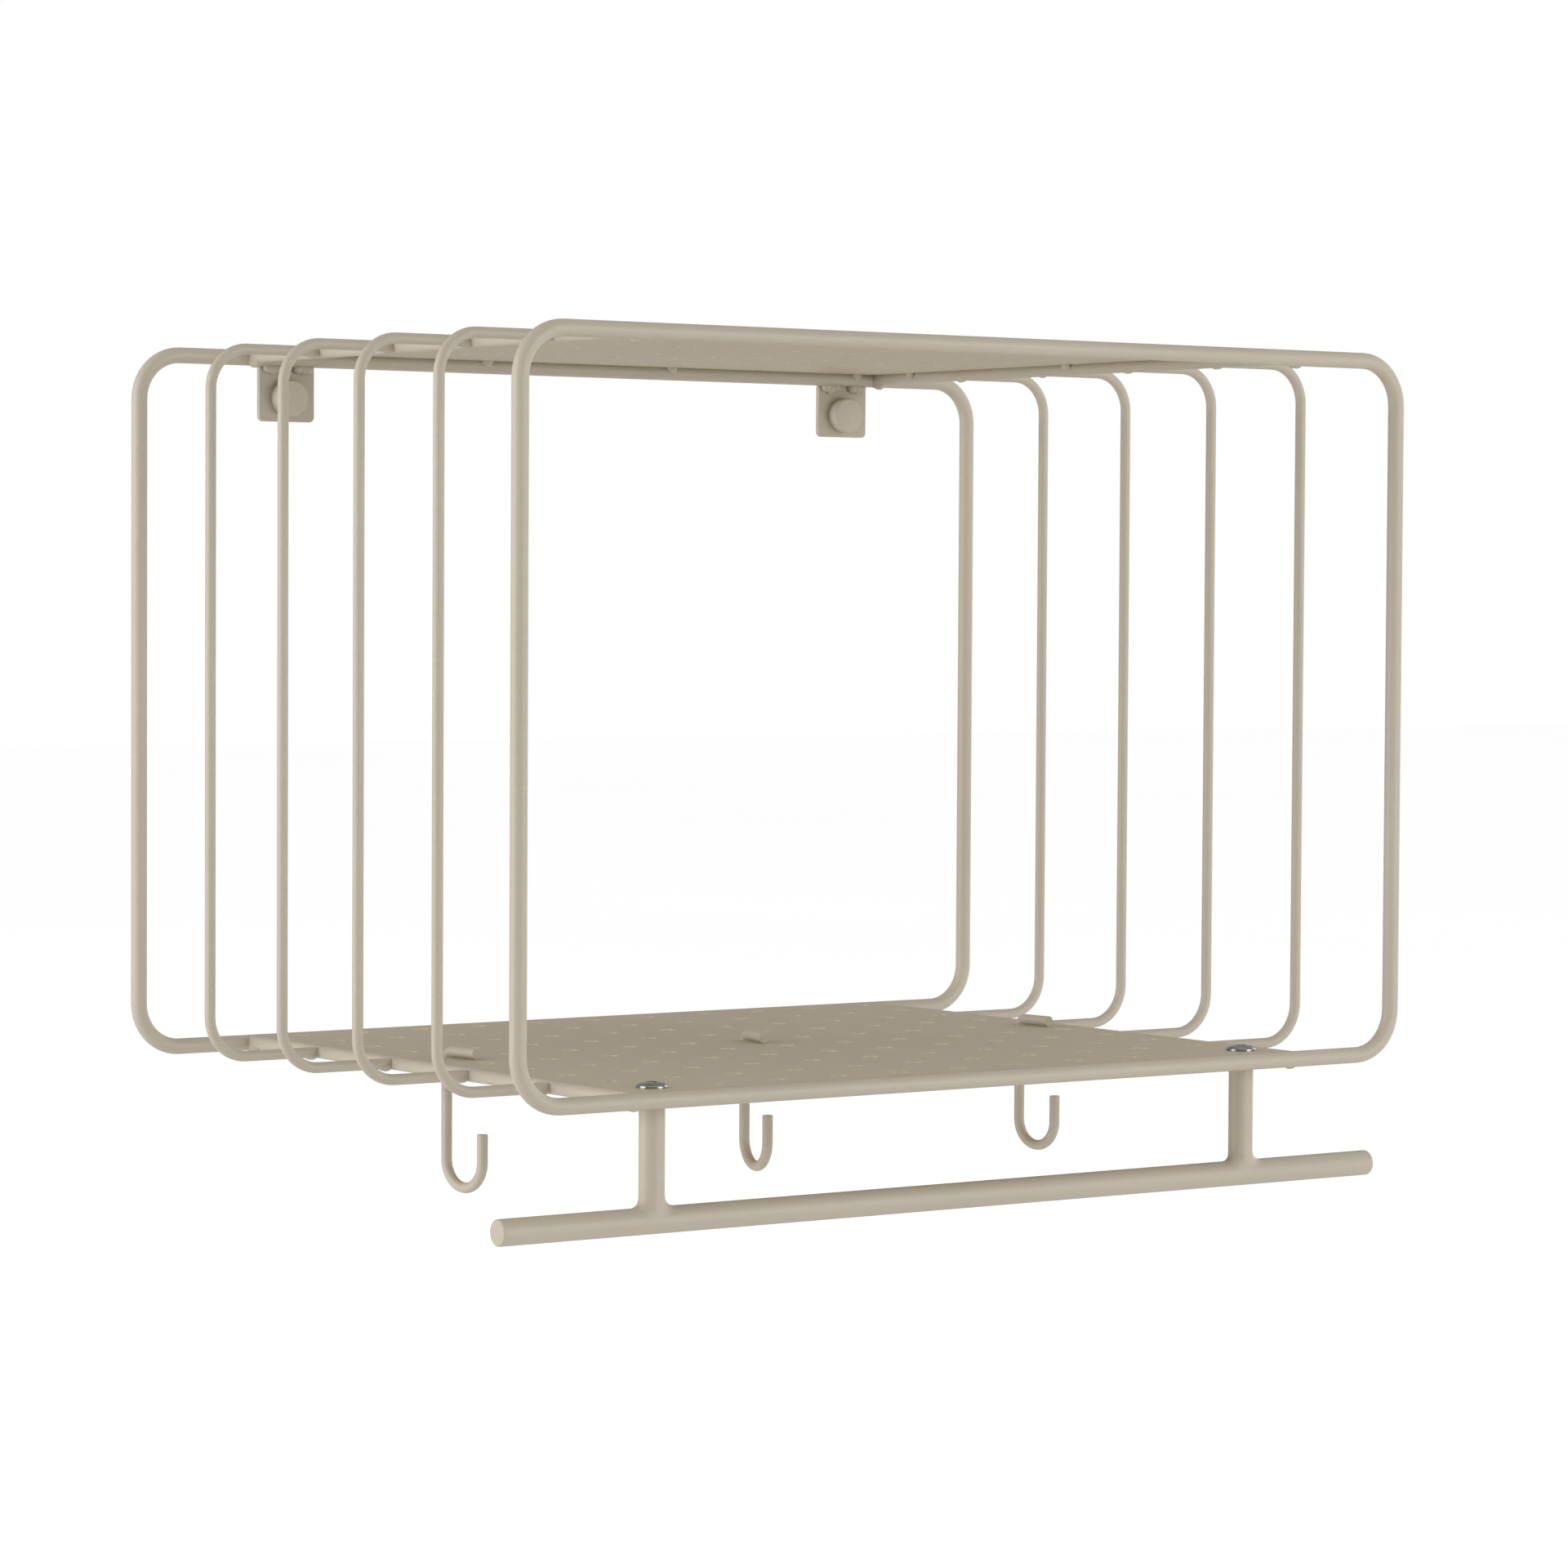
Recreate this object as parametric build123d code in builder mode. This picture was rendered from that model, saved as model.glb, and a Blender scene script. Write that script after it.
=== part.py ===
from build123d import *
import os

# Wall-hung wire rack: two thick wire loops, thin side wires, two perforated shelves,
# three swivelling hooks and a hanging rail. All sizes in millimetres.
# Origin: midway between the two wall-screw holes, on the wall plane. +X right, +Y into
# the wall, +Z up, so the rack reaches out to -Y.

# ---- wire loops -------------------------------------------------------------------
THICK_R = 3.0            # radius of the thick wire
LOOP_W = 394.0           # loop width between wire centres
TOP_Z = 15.0             # centre height of the top wires
BOTTOM_Z = -248.0        # centre height of the bottom wires
LOOP_BEND = 17.0         # bend radius of the loops at the wire centre
BAY = 53.5               # spacing of all upright wires along the depth
REAR_Y = -THICK_R        # rear loop lies against the wall plane
FRONT_Y = REAR_Y - 5 * BAY

# ---- thin side wires and shelf rods -----------------------------------------------
THIN_R = 2.0             # radius of the thin wire
SIDE_X = 196.0           # side wires' uprights, inner faces level with the loops'
SIDE_BEND = 15.0
SIDE_TIP_X = 151.0       # where a side wire's legs stop
ROD_R = 2.5              # radius of the shelf rods
ROD_X = 148.5            # shelf rods, along the long edges of the shelves
ROD_SINK = 0.05          # the rods' crests lie this much below the shelves' tops

# ---- perforated shelves -----------------------------------------------------------
SHELF_T = 1.0
SHELF_LIP = 0.25         # thickness left where a shelf's edges are coped onto the wires
PITCH = 26.75            # square grid of perforations
HOLE_COLUMNS = 11
HOLE_ROWS = 10
HOLE_R = 3.0
GRID_Y = (REAR_Y + FRONT_Y) / 2

# ---- wall tabs and cover caps -----------------------------------------------------
TAB_X = 132.5
TAB_W = 24.0
TAB_T = 2.0
TAB_BOTTOM_Z = -9.0
TAB_TOP_Z = 13.0
TAB_CORNER = 2.0
WALL_HOLE_R = 2.5
RIM_R = 5.8              # drawn rim that the cover cap is pushed over
RIM_WALL = 0.9
RIM_H = 2.4
CAP_R = 7.0
CAP_T = 4.8
CAP_FACE_T = 1.2
CAP_BORE_R = RIM_R + 0.3
CAP_ROUND = 0.7
CAP_GAP = 0.15           # shadow gap between a cap and its tab
TAB_WELD_DX = 7.6        # weld beads either side of the tab's centre line
TAB_WELD_HALF = 2.6
TAB_WELD_R = 1.9
TAB_WELD_OUT = 0.5       # bead centres in front of the tab and below the wire
TAB_WELD_DOWN = 0.6
TAB_WELD_ROUND = 1.5

# ---- hanging rail -----------------------------------------------------------------
RAIL_R = 4.75
RAIL_L = 394.0
RAIL_Z = -291.2
RAIL_EDGE = 0.8
POST_R = 4.6
POST_X = PITCH * (HOLE_COLUMNS - 1) / 2
FRONT_ROW_Y = GRID_Y - PITCH * (HOLE_ROWS - 1) / 2
RAIL_Y = FRONT_ROW_Y - 0.4
POST_BORE_R = 2.55
POST_BORE_DEPTH = 13.0

# ---- rail screws ------------------------------------------------------------------
SCREW_R = 2.5
SCREW_L = 12.0
HEAD_R = 5.65
HEAD_H = 2.2
HEAD_RIM = 0.5
CROSS_L = 5.0
CROSS_W = 1.1
CROSS_DEPTH = 1.4

# ---- swivelling hooks -------------------------------------------------------------
HOOK_R = 2.0
HOOK_X = POST_X
HOOK_Y = GRID_Y + PITCH / 2
HOOK_SHIFT = (-0.22, 0.33)   # a hook hangs a little off its hole's centre
HOOK_LEG = 16.6
HOOK_LEG_GAP = 0.3
HOOK_TOP_BEND = 3.4
HOOK_THROAT = 20.0
HOOK_BOTTOM_Z = -292.3
HOOK_TIP_Z = -272.0
HOOKS = {"left": (-1, -81.0), "middle": (0, -99.0), "right": (1, -84.0)}

# ---- weld beads -------------------------------------------------------------------
TACK_R = 1.35
TACK_ROUND = 0.9
TACK_OFFSET = 0.4        # bead centres below and inward of their corner
TACK_L = 8.0
REAR_TACK_L = 6.0
REAR_TACK_X = (-137.0, -44.0, 44.0, 137.0)
ROD_TACK_Y = (-31.0, -134.0, -240.0)

SHELF_TOP = {"top": TOP_Z + THICK_R, "bottom": BOTTOM_Z + THICK_R}
ROD_DEPTH = ROD_R + ROD_SINK    # rods' centres below the shelves' tops
ROD_Z = {level: top - ROD_DEPTH for level, top in SHELF_TOP.items()}
WIRE_Z = {"top": TOP_Z, "bottom": BOTTOM_Z}
SIDES = {"left": -1, "right": 1}
FAR = 260.0              # half length of the cutters along X

os.makedirs("parts", exist_ok=True)

# ---- thick wire loops -------------------------------------------------------------
for node, y in (("rear_loop", REAR_Y), ("front_loop", FRONT_Y)):
    with BuildPart() as loop:
        with BuildLine(Plane.XZ.offset(-y)) as path:
            FilletPolyline(
                (LOOP_W / 2, TOP_Z),
                (LOOP_W / 2, BOTTOM_Z),
                (-LOOP_W / 2, BOTTOM_Z),
                (-LOOP_W / 2, TOP_Z),
                radius=LOOP_BEND,
                close=True,
            )
        with BuildSketch(Plane(path.line @ 0, z_dir=path.line % 0)):
            Circle(THICK_R)
        sweep()
    loop.part.label = node
    export_step(loop.part, f"parts/{node}.step")

# ---- shelf rods: straight, coped onto the rear and front loops --------------------
for level, wire_z in WIRE_Z.items():
    for side, sign in SIDES.items():
        node = f"{level}_rod_{side}"
        with BuildPart() as rod:
            with BuildSketch(Plane.XZ.offset(-REAR_Y)):
                with Locations((sign * ROD_X, ROD_Z[level])):
                    Circle(ROD_R)
            extrude(amount=5 * BAY)
            with BuildSketch(Plane.YZ):
                with Locations((REAR_Y, wire_z), (FRONT_Y, wire_z)):
                    Circle(THICK_R)
            extrude(amount=FAR, both=True, mode=Mode.SUBTRACT)
        rod.part.label = node
        export_step(rod.part, f"parts/{node}.step")

# ---- side wires: C-shaped, their legs butt against the rods' centre lines ---------
for side, sign in SIDES.items():
    for number in range(1, 5):
        node = f"side_wire_{side}_{number}"
        with BuildPart() as side_wire:
            with BuildLine(Plane.XZ.offset(number * BAY - REAR_Y)) as path:
                FilletPolyline(
                    (sign * SIDE_TIP_X, ROD_Z["top"]),
                    (sign * SIDE_X, ROD_Z["top"]),
                    (sign * SIDE_X, ROD_Z["bottom"]),
                    (sign * SIDE_TIP_X, ROD_Z["bottom"]),
                    radius=SIDE_BEND,
                )
            with BuildSketch(Plane(path.line @ 0, z_dir=path.line % 0)):
                Circle(THIN_R)
            sweep()
        side_wire.part.label = node
        export_step(side_wire.part, f"parts/{node}.step")

# ---- perforated shelves: laid between the wires, their edges coped onto them ------
lap_y = (THICK_R**2 - (THICK_R - SHELF_LIP) ** 2) ** 0.5
lap_x = (ROD_R**2 - (ROD_DEPTH - SHELF_LIP) ** 2) ** 0.5
for level, shelf_top in SHELF_TOP.items():
    node = f"{level}_shelf"
    with BuildPart() as shelf:
        with BuildSketch(Plane.XY.offset(shelf_top - SHELF_T)):
            with Locations((0, GRID_Y)):
                Rectangle(2 * (ROD_X - lap_x), 5 * BAY - 2 * lap_y)
                with GridLocations(PITCH, PITCH, HOLE_COLUMNS, HOLE_ROWS):
                    Circle(HOLE_R, mode=Mode.SUBTRACT)
        extrude(amount=SHELF_T)
        with BuildSketch(Plane.YZ):
            with Locations((REAR_Y, WIRE_Z[level]), (FRONT_Y, WIRE_Z[level])):
                Circle(THICK_R)
        extrude(amount=FAR, both=True, mode=Mode.SUBTRACT)
        with BuildSketch(Plane.XZ):
            with Locations(*((sign * ROD_X, ROD_Z[level]) for sign in SIDES.values())):
                Circle(ROD_R)
        extrude(amount=2 * FAR, mode=Mode.SUBTRACT)
    shelf.part.label = node
    export_step(shelf.part, f"parts/{node}.step")

# ---- tack welds under the shelves: along both rods and at the rear wire -----------
# the corners under a shelf where the welds lie
corner_x = ROD_X - (ROD_R**2 - (ROD_DEPTH - SHELF_T) ** 2) ** 0.5
corner_y = REAR_Y - (THICK_R**2 - (THICK_R - SHELF_T) ** 2) ** 0.5
for level, shelf_top in SHELF_TOP.items():
    node = f"{level}_shelf_welds"
    under_z = shelf_top - SHELF_T
    with BuildPart() as welds:
        for sign in SIDES.values():
            bead_x = sign * (corner_x - TACK_OFFSET)
            for tack_y in ROD_TACK_Y:
                with BuildSketch(Plane.XZ.offset(-tack_y)):
                    with Locations((bead_x, under_z - TACK_OFFSET)):
                        Circle(TACK_R)
                extrude(amount=TACK_L / 2, both=True)
        for tack_x in REAR_TACK_X:
            with BuildSketch(Plane.YZ.offset(tack_x)):
                with Locations((corner_y - TACK_OFFSET, under_z - TACK_OFFSET)):
                    Circle(TACK_R)
            extrude(amount=REAR_TACK_L / 2, both=True)
        fillet(welds.edges().filter_by(GeomType.CIRCLE), TACK_ROUND)
        with BuildSketch(Plane.XY.offset(under_z)):
            with Locations((0, GRID_Y)):
                Rectangle(2 * FAR, 2 * FAR)
        extrude(amount=2 * SHELF_T, mode=Mode.SUBTRACT)
        with BuildSketch(Plane.YZ):
            with Locations((REAR_Y, WIRE_Z[level])):
                Circle(THICK_R)
        extrude(amount=FAR, both=True, mode=Mode.SUBTRACT)
        with BuildSketch(Plane.XZ):
            with Locations(*((sign * ROD_X, ROD_Z[level]) for sign in SIDES.values())):
                Circle(ROD_R)
        extrude(amount=2 * FAR, mode=Mode.SUBTRACT)
    welds.part.label = node
    export_step(welds.part, f"parts/{node}.step")

# ---- wall tabs: under the rear loop's top wire, each with a drawn rim -------------
for side, sign in SIDES.items():
    node = f"wall_tab_{side}"
    with BuildPart() as tab:
        with BuildSketch(Plane.XZ) as outline:
            with Locations((sign * TAB_X, (TAB_TOP_Z + TAB_BOTTOM_Z) / 2)):
                Rectangle(TAB_W, TAB_TOP_Z - TAB_BOTTOM_Z)
            fillet(outline.vertices().group_by(Axis.Z)[0], TAB_CORNER)
        extrude(amount=TAB_T)
        with BuildSketch(Plane.XZ.offset(TAB_T)):
            with Locations((sign * TAB_X, 0)):
                Circle(RIM_R)
                Circle(RIM_R - RIM_WALL, mode=Mode.SUBTRACT)
        extrude(amount=RIM_H)
        with BuildSketch(Plane.XZ):
            with Locations((sign * TAB_X, 0)):
                Circle(WALL_HOLE_R)
        extrude(amount=TAB_T, mode=Mode.SUBTRACT)
        with BuildSketch(Plane.YZ):
            with Locations((REAR_Y, TOP_Z)):
                Circle(THICK_R)
        extrude(amount=FAR, both=True, mode=Mode.SUBTRACT)
    tab.part.label = node
    export_step(tab.part, f"parts/{node}.step")

# ---- weld beads that hold the tabs' top corners to the rear wire ------------------
with BuildPart() as tab_welds:
    for sign in SIDES.values():
        for corner in SIDES.values():
            with BuildSketch(Plane.YZ.offset(sign * TAB_X + corner * TAB_WELD_DX)):
                with Locations((-TAB_T - TAB_WELD_OUT, TOP_Z - THICK_R - TAB_WELD_DOWN)):
                    Circle(TAB_WELD_R)
            extrude(amount=TAB_WELD_HALF + TAB_WELD_R / 2, both=True)
    fillet(tab_welds.edges().filter_by(GeomType.CIRCLE), TAB_WELD_ROUND)
    with BuildSketch(Plane.XZ.offset(-FAR)):
        with Locations((0, 0)):
            Rectangle(2 * FAR, 2 * FAR)
    extrude(amount=FAR + TAB_T, mode=Mode.SUBTRACT)
    with BuildSketch(Plane.YZ):
        with Locations((REAR_Y, TOP_Z)):
            Circle(THICK_R)
    extrude(amount=FAR, both=True, mode=Mode.SUBTRACT)
tab_welds.part.label = "tab_welds"
export_step(tab_welds.part, "parts/tab_welds.step")

# ---- cover caps: hollow, pushed over the rims on the tabs -------------------------
for side, sign in SIDES.items():
    node = f"cover_cap_{side}"
    with BuildPart() as cap:
        with BuildSketch(Plane.XZ.offset(TAB_T + CAP_GAP)):
            with Locations((sign * TAB_X, 0)):
                Circle(CAP_R)
        extrude(amount=CAP_T)
        fillet(cap.edges().group_by(Axis.Y)[0], CAP_ROUND)
        with BuildSketch(Plane.XZ.offset(TAB_T + CAP_GAP)):
            with Locations((sign * TAB_X, 0)):
                Circle(CAP_BORE_R)
        extrude(amount=CAP_T - CAP_FACE_T, mode=Mode.SUBTRACT)
    cap.part.label = node
    export_step(cap.part, f"parts/{node}.step")

# ---- hanging rail -----------------------------------------------------------------
with BuildPart() as rail_bar:
    with BuildSketch(Plane.YZ):
        with Locations((RAIL_Y, RAIL_Z)):
            Circle(RAIL_R)
    extrude(amount=RAIL_L / 2, both=True)
    fillet(rail_bar.edges().filter_by(GeomType.CIRCLE), RAIL_EDGE)
rail_bar.part.label = "rail_bar"
export_step(rail_bar.part, "parts/rail_bar.step")

# ---- posts between the bottom shelf and the rail ----------------------------------
post_top = SHELF_TOP["bottom"] - SHELF_T
for side, sign in SIDES.items():
    node = f"rail_post_{side}"
    with BuildPart() as post:
        with BuildSketch(Plane.XY.offset(RAIL_Z)):
            with Locations((sign * POST_X, RAIL_Y)):
                Circle(POST_R)
        extrude(amount=post_top - RAIL_Z)
        with BuildSketch(Plane.XY.offset(post_top)):
            with Locations((sign * POST_X, RAIL_Y)):
                Circle(POST_BORE_R)
        extrude(amount=-POST_BORE_DEPTH, mode=Mode.SUBTRACT)
        with BuildSketch(Plane.YZ):
            with Locations((RAIL_Y, RAIL_Z)):
                Circle(RAIL_R)
        extrude(amount=FAR, both=True, mode=Mode.SUBTRACT)
    post.part.label = node
    export_step(post.part, f"parts/{node}.step")

# ---- cross-recessed screws through the shelf's corner perforations ----------------
head_base = SHELF_TOP["bottom"]
head_top = head_base + HEAD_H
for side, sign in SIDES.items():
    node = f"rail_screw_{side}"
    with BuildPart() as screw:
        with BuildSketch(Plane.XZ.offset(-RAIL_Y)):
            with BuildLine():
                axis_x = sign * POST_X
                Polyline(
                    (axis_x, head_top),
                    (axis_x, head_base - SCREW_L),
                    (axis_x + SCREW_R, head_base - SCREW_L),
                    (axis_x + SCREW_R, head_base),
                    (axis_x + HEAD_R, head_base),
                    (axis_x + HEAD_R, head_base + HEAD_RIM),
                )
                EllipticalCenterArc(
                    (axis_x, head_base + HEAD_RIM),
                    x_radius=HEAD_R,
                    y_radius=HEAD_H - HEAD_RIM,
                    arc_size=90,
                )
            make_face()
        revolve(axis=Axis((axis_x, RAIL_Y, 0), (0, 0, 1)))
        with BuildSketch(Plane.XY.offset(head_top)):
            with Locations((axis_x, RAIL_Y)):
                Rectangle(CROSS_L, CROSS_W)
                Rectangle(CROSS_W, CROSS_L)
        extrude(amount=-CROSS_DEPTH, mode=Mode.SUBTRACT)
    screw.part.label = node
    export_step(screw.part, f"parts/{node}.step")

# ---- hooks: a leg on the shelf, a stem through a perforation and a J below --------
leg_z = SHELF_TOP["bottom"] + HOOK_R + HOOK_LEG_GAP
bowl_r = HOOK_THROAT / 2
bowl_z = HOOK_BOTTOM_Z + bowl_r
for position, (column, heading) in HOOKS.items():
    node = f"hook_{position}"
    stem = (column * HOOK_X + HOOK_SHIFT[0], HOOK_Y + HOOK_SHIFT[1], 0)
    side_plane = Plane(stem, x_dir=Vector(1, 0, 0).rotate(Axis.Z, heading),
                       z_dir=Vector(0, -1, 0).rotate(Axis.Z, heading))
    with BuildPart() as hook:
        with BuildLine(side_plane) as path:
            Line((HOOK_LEG, leg_z), (HOOK_TOP_BEND, leg_z))
            RadiusArc((HOOK_TOP_BEND, leg_z), (0, leg_z - HOOK_TOP_BEND), -HOOK_TOP_BEND)
            Line((0, leg_z - HOOK_TOP_BEND), (0, bowl_z))
            ThreePointArc((0, bowl_z), (bowl_r, HOOK_BOTTOM_Z), (HOOK_THROAT, bowl_z))
            Line((HOOK_THROAT, bowl_z), (HOOK_THROAT, HOOK_TIP_Z))
        with BuildSketch(Plane(path.line @ 0, z_dir=path.line % 0)):
            Circle(HOOK_R)
        sweep()
    hook.part.label = node
    export_step(hook.part, f"parts/{node}.step")
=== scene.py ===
import math

import bmesh
import bpy
from mathutils import Matrix, Vector, noise


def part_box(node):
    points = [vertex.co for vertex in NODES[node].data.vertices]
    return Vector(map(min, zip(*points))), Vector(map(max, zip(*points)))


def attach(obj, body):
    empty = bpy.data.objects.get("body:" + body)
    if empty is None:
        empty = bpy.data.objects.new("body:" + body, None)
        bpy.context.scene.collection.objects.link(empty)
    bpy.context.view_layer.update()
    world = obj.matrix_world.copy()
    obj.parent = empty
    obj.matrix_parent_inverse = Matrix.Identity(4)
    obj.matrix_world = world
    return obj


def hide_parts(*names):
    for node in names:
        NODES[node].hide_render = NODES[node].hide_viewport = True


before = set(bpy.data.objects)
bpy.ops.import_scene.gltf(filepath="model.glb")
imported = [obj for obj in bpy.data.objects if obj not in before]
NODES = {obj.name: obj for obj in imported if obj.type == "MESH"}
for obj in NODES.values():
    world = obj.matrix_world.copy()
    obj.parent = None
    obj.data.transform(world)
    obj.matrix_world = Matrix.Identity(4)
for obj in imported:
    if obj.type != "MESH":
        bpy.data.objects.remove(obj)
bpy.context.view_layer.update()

MM = 0.001
LEVELS = ("top", "bottom")
SIDES = {"left": -1, "right": 1}
SIDE_WIRES = range(1, 5)


# ---- materials --------------------------------------------------------------------
class Nodes:
    """Short calls for building one material's node tree."""

    def __init__(self, name):
        self.material = bpy.data.materials.new(name)
        self.material.use_nodes = True
        self.tree = self.material.node_tree
        self.bsdf = self.tree.nodes["Principled BSDF"]
        self.coords = self.add("ShaderNodeTexCoord")

    def add(self, kind, **settings):
        node = self.tree.nodes.new(kind)
        for key, value in settings.items():
            setattr(node, key, value)
        return node

    def link(self, source, target):
        self.tree.links.new(source, target)

    def noise(self, scale, detail=2.0, roughness=0.5, stretch=(1, 1, 1)):
        mapping = self.add("ShaderNodeMapping")
        mapping.inputs["Scale"].default_value = stretch
        self.link(self.coords.outputs["Object"], mapping.inputs["Vector"])
        node = self.add("ShaderNodeTexNoise")
        node.inputs["Scale"].default_value = scale
        node.inputs["Detail"].default_value = detail
        node.inputs["Roughness"].default_value = roughness
        self.link(mapping.outputs["Vector"], node.inputs["Vector"])
        return node.outputs["Fac"]

    def ramp(self, source, low, high):
        """Colour ramp between two stops, each (position, colour)."""
        node = self.add("ShaderNodeValToRGB")
        for element, stop in zip(node.color_ramp.elements, (low, high)):
            element.position, element.color = stop
        self.link(source, node.inputs["Fac"])
        return node.outputs["Color"]

    def value_ramp(self, source, low, high):
        node = self.add("ShaderNodeMapRange")
        node.inputs["To Min"].default_value = low
        node.inputs["To Max"].default_value = high
        self.link(source, node.inputs["Value"])
        return node.outputs["Result"]

    def multiply(self, color_a, color_b):
        node = self.add("ShaderNodeMix", data_type="RGBA", blend_type="MULTIPLY")
        node.inputs["Factor"].default_value = 1.0
        self.link(color_a, node.inputs["A"])
        self.link(color_b, node.inputs["B"])
        return node.outputs["Result"]

    def bump(self, layers):
        """layers: (height output, strength, distance in metres), applied one after another."""
        normal = None
        for height, strength, distance in layers:
            node = self.add("ShaderNodeBump")
            node.inputs["Strength"].default_value = strength
            node.inputs["Distance"].default_value = distance
            self.link(height, node.inputs["Height"])
            if normal is not None:
                self.link(normal, node.inputs["Normal"])
            normal = node.outputs["Normal"]
        self.link(normal, self.bsdf.inputs["Normal"])


def grey(value):
    return (value, value, value, 1.0)


def tint(color, factor):
    return (*(c * factor for c in color), 1.0)


WIRE_COLOR = (0.488, 0.433, 0.343)
SHEET_COLOR = (0.506, 0.433, 0.308)
CAP_COLOR = (0.505, 0.449, 0.358)
ZINC_DARK = (0.27, 0.28, 0.28, 1.0)
ZINC_PALE = (0.44, 0.45, 0.45, 1.0)


def powder_coat(name, color):
    """Satin powder coat: soft orange peel, a fine grain and a faint drift in tone."""
    m = Nodes(name)
    drift = m.noise(7.0, 3.0)
    peel = m.noise(620.0, 2.0, 0.45)
    grain = m.noise(3200.0, 1.5)
    tone = m.ramp(drift, (0.32, tint(color, 0.970)), (0.68, tint(color, 1.025)))
    speckle = m.ramp(grain, (0.30, grey(0.965)), (0.55, grey(1.0)))
    m.link(m.multiply(tone, speckle), m.bsdf.inputs["Base Color"])
    m.link(m.value_ramp(peel, 0.40, 0.52), m.bsdf.inputs["Roughness"])
    m.bump([(peel, 0.16, 0.5 * MM), (grain, 0.10, 0.1 * MM)])
    return m.material


def moulded_plastic(name, color):
    """Cover caps: a smoother, slightly glossier face than the coat around them."""
    m = Nodes(name)
    drift = m.noise(40.0)
    spark = m.noise(1500.0)
    tone = m.ramp(drift, (0.35, tint(color, 0.98)), (0.65, tint(color, 1.02)))
    m.link(tone, m.bsdf.inputs["Base Color"])
    m.link(m.value_ramp(spark, 0.30, 0.40), m.bsdf.inputs["Roughness"])
    m.bump([(spark, 0.06, 0.2 * MM)])
    return m.material


def bright_zinc(name):
    """Zinc plate on the screws: faint forming lines and a little clouding."""
    m = Nodes(name)
    cloud = m.noise(300.0, 3.0)
    lines = m.noise(1400.0, stretch=(1, 1, 7))
    m.link(m.ramp(cloud, (0.3, ZINC_DARK), (0.7, ZINC_PALE)), m.bsdf.inputs["Base Color"])
    m.link(m.value_ramp(lines, 0.08, 0.18), m.bsdf.inputs["Roughness"])
    m.bump([(lines, 0.10, 0.2 * MM)])
    m.bsdf.inputs["Metallic"].default_value = 1.0
    return m.material


COAT = powder_coat("powder_coat", WIRE_COLOR)
SHEET_COAT = powder_coat("sheet_powder_coat", SHEET_COLOR)
CAP_PLASTIC = moulded_plastic("cap_plastic", CAP_COLOR)
ZINC = bright_zinc("bright_zinc")


def material_of(name):
    if name.endswith("_shelf"):
        return SHEET_COAT
    if name.startswith("rail_screw"):
        return ZINC
    if name.startswith("cover_cap"):
        return CAP_PLASTIC
    return COAT


for name, node in NODES.items():
    node.data.materials.clear()
    node.data.materials.append(material_of(name))


# ---- helpers for the weld pieces --------------------------------------------------
LUMP_SUBDIVISIONS = 3
LUMP_BROAD = 1.3         # frequencies of the unevenness over a bead
LUMP_FINE = 2.7
LUMP_FINE_SHARE = 0.4
LUMP_SEED_SLANT = Vector((1.0, 0.37, -0.61))     # keeps one bead's noise off the next one's


def islands(node):
    """Box (lowest corner, highest corner) of each separate solid in a CAD node's mesh."""
    points = {}
    for vertex in NODES[node].data.vertices:
        points.setdefault(tuple(round(c, 6) for c in vertex.co), []).append(vertex.index)
    parent = {key: key for key in points}
    key_of = {index: key for key, indices in points.items() for index in indices}

    def root(key):
        while parent[key] != key:
            parent[key] = parent[parent[key]]
            key = parent[key]
        return key

    for edge in NODES[node].data.edges:
        a, b = (root(key_of[index]) for index in edge.vertices)
        parent[a] = b
    groups = {}
    for key in points:
        groups.setdefault(root(key), []).append(key)
    boxes = []
    for keys in groups.values():
        low = Vector(min(k[i] for k in keys) for i in range(3))
        high = Vector(max(k[i] for k in keys) for i in range(3))
        boxes.append((low, high))
    return sorted(boxes, key=lambda box: tuple(box[0]))


def wander(*place):
    """Smooth noise, about -1 to 1, at a place."""
    return noise.noise(Vector(place))


def lump(mesh, centre, semi, rough, seed, top=None):
    """A weld bead: a round lump of semi-axes semi, made uneven, and cut level at height top."""
    made = bmesh.ops.create_icosphere(mesh, subdivisions=LUMP_SUBDIVISIONS, radius=1.0)
    for vertex in made["verts"]:
        direction = vertex.co.normalized()
        place = direction * LUMP_BROAD + LUMP_SEED_SLANT * seed
        fine = LUMP_FINE_SHARE * rough * noise.noise(place * LUMP_FINE)
        swell = 1.0 + rough * noise.noise(place) + fine
        vertex.co = centre + Vector(direction[i] * semi[i] * swell for i in range(3))
        if top is not None:
            vertex.co.z = min(vertex.co.z, top)


def finish_piece(mesh, name, replaced=()):
    """Turn a bmesh into a smooth-shaded, coated piece that rides on the welded frame."""
    data = bpy.data.meshes.new(name)
    bmesh.ops.recalc_face_normals(mesh, faces=mesh.faces)
    for face in mesh.faces:
        face.smooth = True
    mesh.to_mesh(data)
    mesh.free()
    data.materials.append(COAT)
    piece = bpy.data.objects.new(name, data)
    bpy.context.scene.collection.objects.link(piece)
    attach(piece, "frame")
    if replaced:
        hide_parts(*replaced)


# ---- tack welds under the shelves -------------------------------------------------
TACK_ALONG = 2.5 * MM
TACK_OUT = 1.5 * MM
TACK_DOWN = 2.1 * MM
TACK_BELOW = 0.2 * MM    # bead centres below the sheet's underside
TACK_INTO = 0.3 * MM     # bead tops inside the sheet
TACK_VARIES = 0.16       # how much the beads differ in length
TACK_ROUGH = 0.22


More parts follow.
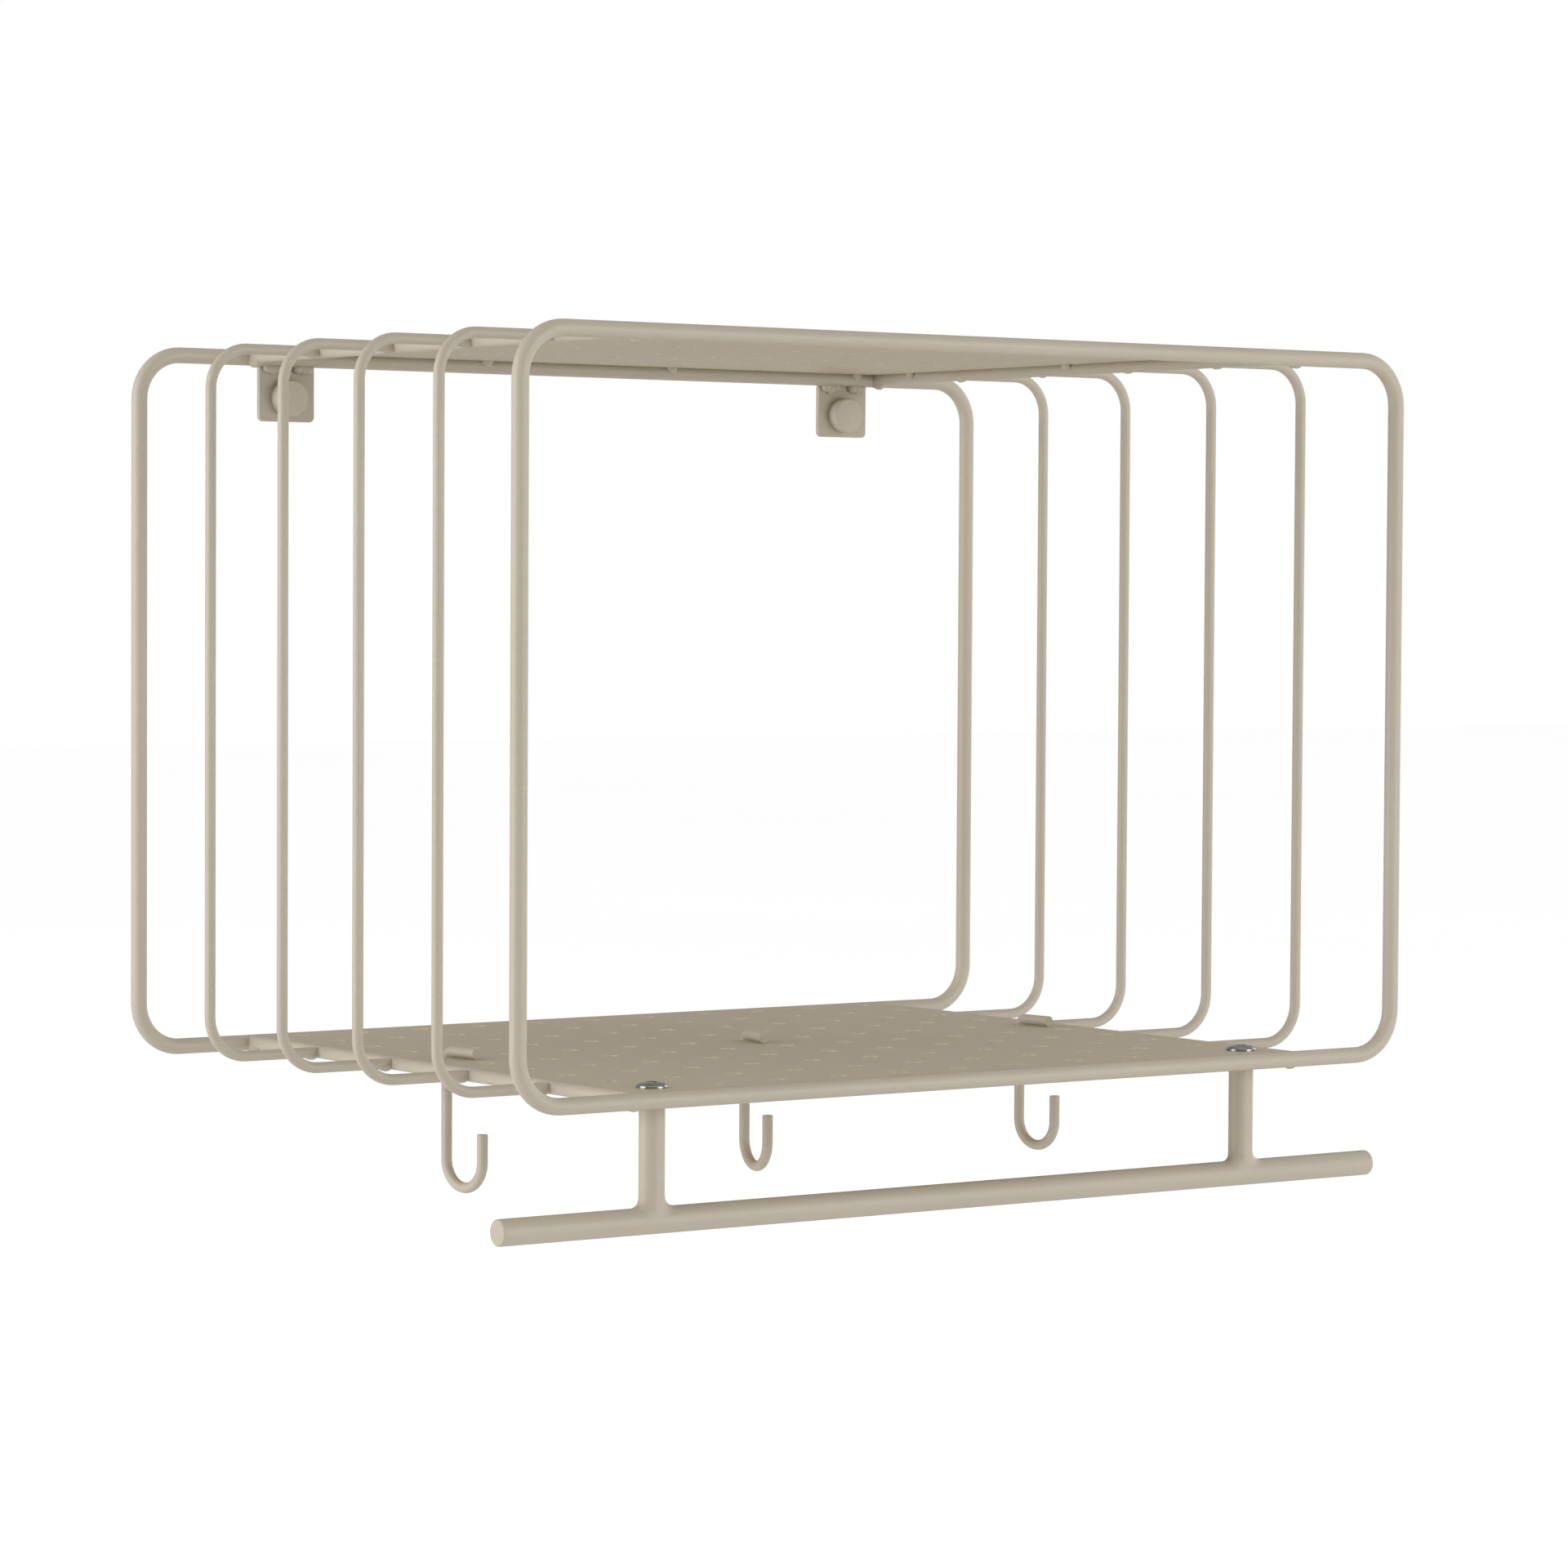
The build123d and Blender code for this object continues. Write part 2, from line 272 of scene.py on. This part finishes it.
def shelf_tacks(level):
    """Short beads in the corners under a shelf, along both rods and the rear wire."""
    bm = bmesh.new()
    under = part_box(f"{level}_shelf")[0].z
    for number, (low, high) in enumerate(islands(f"{level}_shelf_welds")):
        centre = (low + high) / 2
        centre.z = under - TACK_BELOW
        along = TACK_ALONG * (1.0 + TACK_VARIES * wander(number * 1.7, 0.4, 0.0))
        if high.x - low.x > high.y - low.y:
            semi = (along, TACK_OUT, TACK_DOWN)
        else:
            semi = (TACK_OUT, along, TACK_DOWN)
        lump(bm, centre, semi, TACK_ROUGH, 3.1 * number + 0.7, top=under + TACK_INTO)
    finish_piece(bm, f"{level}_shelf_tacks", [f"{level}_shelf_welds"])


for level in LEVELS:
    shelf_tacks(level)


# ---- beads that hold the tabs to the rear wire ------------------------------------
DROP_STEP = 0.30         # spacing and shift along the bead, as shares of its length
DROP_INWARD = 0.14
DROP_ALONG = 0.32
DROP_BACK = 0.1 * MM
DROP_UP = 0.5 * MM
DROP_UP_VARIES = 0.6 * MM
DROP_THICK = 1.9 * MM
DROP_TALL = 2.4 * MM
DROP_END_LESS = 0.3 * MM     # the outer drops are this much lower
DROP_ROUGH = 0.14


def tab_beads():
    """Two uneven beads at each tab's top corners, each a run of three overlapping drops."""
    bm = bmesh.new()
    for number, (low, high) in enumerate(islands("tab_welds")):
        centre = (low + high) / 2
        length = high.x - low.x
        inward = 1 if number % 2 == 0 else -1
        for step in (-1, 0, 1):
            seed = 5.3 * number + 1.9 * step
            along = (step * DROP_STEP + inward * DROP_INWARD) * length
            rise = DROP_UP + DROP_UP_VARIES * wander(seed, 0.2, 0.9)
            semi = (DROP_ALONG * length, DROP_THICK, DROP_TALL - DROP_END_LESS * abs(step))
            lump(bm, centre + Vector((along, DROP_BACK, rise)), semi, DROP_ROUGH, seed)
    finish_piece(bm, "tab_beads", ["tab_welds"])


tab_beads()


# ---- welds at both ends of the shelf rods -----------------------------------------
ROD_WELD_IN = 2.2 * MM
ROD_WELD_DROP = 1.15 * MM
ROD_WELD_ALONG = 4.2 * MM
ROD_WELD_WIDE = 1.14     # half width and half height, as multiples of the rod's radius
ROD_WELD_TALL = 1.28
ROD_WELD_SINK = 0.02 * MM    # bead tops below the sheet's top
ROD_WELD_ROUGH = 0.12


def rod_end_welds():
    """The coat-filled beads where each rod meets the front and rear loops."""
    bm = bmesh.new()
    number = 0
    for level in LEVELS:
        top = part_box(f"{level}_shelf")[1].z - ROD_WELD_SINK
        for side in SIDES:
            low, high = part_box(f"{level}_rod_{side}")
            middle = (low + high) / 2
            radius = (high.x - low.x) / 2
            semi = (radius * ROD_WELD_WIDE, ROD_WELD_ALONG, radius * ROD_WELD_TALL)
            for y in (high.y - ROD_WELD_IN, low.y + ROD_WELD_IN):
                centre = Vector((middle.x, y, middle.z - ROD_WELD_DROP))
                lump(bm, centre, semi, ROD_WELD_ROUGH, 2.3 * number + 0.3, top=top)
                number += 1
    finish_piece(bm, "rod_end_welds")


rod_end_welds()


# ---- welds at the tips of the side wires ------------------------------------------
TIP_BACK = 1.9 * MM      # bead centres back from the wire's tip
TIP_BACK_VARIES = 0.6 * MM
TIP_DROP = 0.45 * MM
TIP_ALONG = 3.3 * MM
TIP_WIDE = 1.06          # half width and half height, as multiples of the wire's radius
TIP_TALL = 1.18
TIP_ROUGH = 0.16


def wire_tip_welds():
    """A small uneven bead on each leg's tip, hanging a little below the wire."""
    bm = bmesh.new()
    number = 0
    for side, sign in SIDES.items():
        for wire in SIDE_WIRES:
            low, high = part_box(f"side_wire_{side}_{wire}")
            y = (low.y + high.y) / 2
            radius = (high.y - low.y) / 2
            semi = (TIP_ALONG, radius * TIP_WIDE, radius * TIP_TALL)
            tip_x = high.x if sign < 0 else low.x
            for z in (high.z - radius, low.z + radius):
                seed = 1.7 * number + 0.9
                back = TIP_BACK + TIP_BACK_VARIES * wander(seed, 0.0, 0.3)
                lump(bm, Vector((tip_x + sign * back, y, z - TIP_DROP)), semi, TIP_ROUGH, seed)
                number += 1
    finish_piece(bm, "wire_tip_welds")


wire_tip_welds()


# ---- fillets between the posts and the rail ---------------------------------------
FILLET_UP = 5.0 * MM
FILLET_OUT = 4.6 * MM
FILLET_TURNS = 72
FILLET_STEPS = 9
FILLET_VARIES = 0.10     # unevenness round the post, and its frequency
FILLET_WAVES = 1.4
FILLET_LEAN = 0.14       # fuller on the right of each post than on the left
FILLET_ROUND = 0.62      # how far the foot reaches round the rail, as a share of FILLET_OUT
FILLET_SADDLE = 0.55     # height where the rail falls away, as a share of FILLET_UP
FILLET_HOLLOW = 0.04     # 0 follows the post and rail, 1 is a straight chamfer
FILLET_CORE = 0.86       # the closed back edge inside the post: share of its radius, depth
FILLET_CORE_DEPTH = 0.6 * MM


def post_fillet(side):
    """A concave weld fillet that follows the saddle where a post stands on the rail."""
    rail_low, rail_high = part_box("rail_bar")
    rail_r = (rail_high.z - rail_low.z) / 2
    post_low, post_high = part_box(f"rail_post_{side}")
    post_r = (post_high.x - post_low.x) / 2
    axis = (post_low + post_high) / 2
    centre = Vector((axis.x, axis.y, (rail_high.z + rail_low.z) / 2))
    bm = bmesh.new()
    rings = []
    for turn in range(FILLET_TURNS):
        phi = 2 * math.pi * turn / FILLET_TURNS
        across, around = math.cos(phi), math.sin(phi)
        uneven = wander(across * FILLET_WAVES, around * FILLET_WAVES, SIDES[side])
        swell = 1.0 + FILLET_VARIES * uneven + FILLET_LEAN * across
        start = math.asin(post_r * around / rail_r)
        end = start + FILLET_ROUND * FILLET_OUT * swell / rail_r * around
        foot = Vector(((post_r + FILLET_OUT * swell * abs(across)) * across,
                       rail_r * math.sin(end), rail_r * math.cos(end)))
        corner = Vector((post_r * across, post_r * around, rail_r * math.cos(start)))
        rise = FILLET_UP * swell * (FILLET_SADDLE + (1 - FILLET_SADDLE) * abs(across))
        head = corner + Vector((0, 0, rise))
        inside = Vector((corner.x * FILLET_CORE, corner.y * FILLET_CORE,
                         corner.z - FILLET_CORE_DEPTH))
        knee = corner.lerp((head + foot) / 2, FILLET_HOLLOW)
        ring = []
        for step in range(FILLET_STEPS):
            t = step / (FILLET_STEPS - 1)
            ring.append(head * (1 - t) ** 2 + knee * 2 * t * (1 - t) + foot * t ** 2)
        ring.append(inside)
        rings.append([bm.verts.new(centre + point) for point in ring])
    for a, b in zip(rings, rings[1:] + rings[:1]):
        for i in range(len(a)):
            j = (i + 1) % len(a)
            bm.faces.new((a[i], a[j], b[j], b[i]))
        for border in (0, FILLET_STEPS - 1):
            bm.edges.get((a[border], b[border])).smooth = False
    finish_piece(bm, f"post_fillet_{side}")


for side in SIDES:
    post_fillet(side)


# ---- stage ------------------------------------------------------------------------
FLOOR_Z = -0.62
FLOOR_HALF = 14.0
FLOOR_GLOW = 0.62        # lifts the paper to the studio's white, for the camera only


def floor_paper(name):
    """Matt white paper with a faint drift in tone."""
    m = Nodes(name)
    tone = m.ramp(m.noise(0.8), (0.3, grey(0.93)), (0.7, grey(0.95)))
    m.link(tone, m.bsdf.inputs["Base Color"])
    m.bsdf.inputs["Roughness"].default_value = 0.95
    m.bsdf.inputs["Specular IOR Level"].default_value = 0.2
    m.bsdf.inputs["Emission Color"].default_value = grey(1.0)
    glow = m.add("ShaderNodeMath", operation="MULTIPLY")
    glow.inputs[1].default_value = FLOOR_GLOW
    m.link(m.add("ShaderNodeLightPath").outputs["Is Camera Ray"], glow.inputs[0])
    m.link(glow.outputs["Value"], m.bsdf.inputs["Emission Strength"])
    return m.material


def floor():
    mesh = bpy.data.meshes.new("floor")
    corners = [(-1, -1), (1, -1), (1, 1), (-1, 1)]
    mesh.from_pydata([(x * FLOOR_HALF, y * FLOOR_HALF, FLOOR_Z) for x, y in corners],
                     [], [(0, 1, 2, 3)])
    mesh.materials.append(floor_paper("floor_paper"))
    plane = bpy.data.objects.new("floor", mesh)
    bpy.context.scene.collection.objects.link(plane)


floor()

# ---- light ------------------------------------------------------------------------
AMBIENT = 0.39

# softboxes around the rack: name, position, size (width, height), power in watts
SOFTBOXES = [
    ("box_left", (-2.0, 0.35, 0.10), (1.6, 2.0), 36),
    ("box_right", (2.0, 0.0, 0.10), (1.6, 2.0), 12),
    ("box_right_front", (1.0, -2.2, 0.10), (1.4, 1.6), 24),
    ("box_overhead", (0.0, -0.2, 1.70), (2.4, 2.4), 7),
]
AIM = Vector((0.0, -0.14, -0.14))


def studio_world():
    """White all round: seen directly it is full white, as light it is dimmer."""
    world = bpy.data.worlds.new("studio")
    world.use_nodes = True
    tree = world.node_tree
    ambient = tree.nodes["Background"]
    seen = tree.nodes.new("ShaderNodeBackground")
    for background, strength in ((ambient, AMBIENT), (seen, 1.0)):
        background.inputs["Color"].default_value = grey(1.0)
        background.inputs["Strength"].default_value = strength
    path = tree.nodes.new("ShaderNodeLightPath")
    mix = tree.nodes.new("ShaderNodeMixShader")
    tree.links.new(path.outputs["Is Camera Ray"], mix.inputs["Fac"])
    tree.links.new(ambient.outputs["Background"], mix.inputs[1])
    tree.links.new(seen.outputs["Background"], mix.inputs[2])
    tree.links.new(mix.outputs["Shader"], tree.nodes["World Output"].inputs["Surface"])
    bpy.context.scene.world = world


def softbox(name, position, size, power):
    light = bpy.data.lights.new(name, "AREA")
    light.shape = "RECTANGLE"
    light.size, light.size_y = size
    light.energy = power
    lamp = bpy.data.objects.new(name, light)
    lamp.location = position
    lamp.rotation_euler = (AIM - Vector(position)).to_track_quat("-Z", "Y").to_euler()
    bpy.context.scene.collection.objects.link(lamp)


studio_world()
bpy.context.scene.view_settings.view_transform = "Standard"
for box in SOFTBOXES:
    softbox(*box)

# ---- camera -----------------------------------------------------------------------
FOCAL = 115.708
SENSOR = 36.0
AZIMUTH = math.radians(-35.5005)
ELEVATION = math.radians(2.1756)
ROLL = math.radians(0.3232)
DISTANCE = 1.9194
TARGET = Vector((0.007723, -0.13675, -0.146559))
CLIP_NEAR = 0.05
CLIP_FAR = 60.0


def studio_camera():
    back = Vector((math.sin(AZIMUTH) * math.cos(ELEVATION),
                   -math.cos(AZIMUTH) * math.cos(ELEVATION), math.sin(ELEVATION)))
    right = Vector((math.cos(AZIMUTH), math.sin(AZIMUTH), 0.0))
    up = back.cross(right)
    rolled_right = right * math.cos(ROLL) + up * math.sin(ROLL)
    rolled_up = up * math.cos(ROLL) - right * math.sin(ROLL)
    data = bpy.data.cameras.new("camera")
    data.lens = FOCAL
    data.sensor_width = SENSOR
    data.clip_start = CLIP_NEAR
    data.clip_end = CLIP_FAR
    camera = bpy.data.objects.new("camera", data)
    camera.matrix_world = Matrix.Translation(TARGET + back * DISTANCE) @ Matrix(
        (rolled_right, rolled_up, back)).transposed().to_4x4()
    bpy.context.scene.collection.objects.link(camera)
    bpy.context.scene.camera = camera


studio_camera()
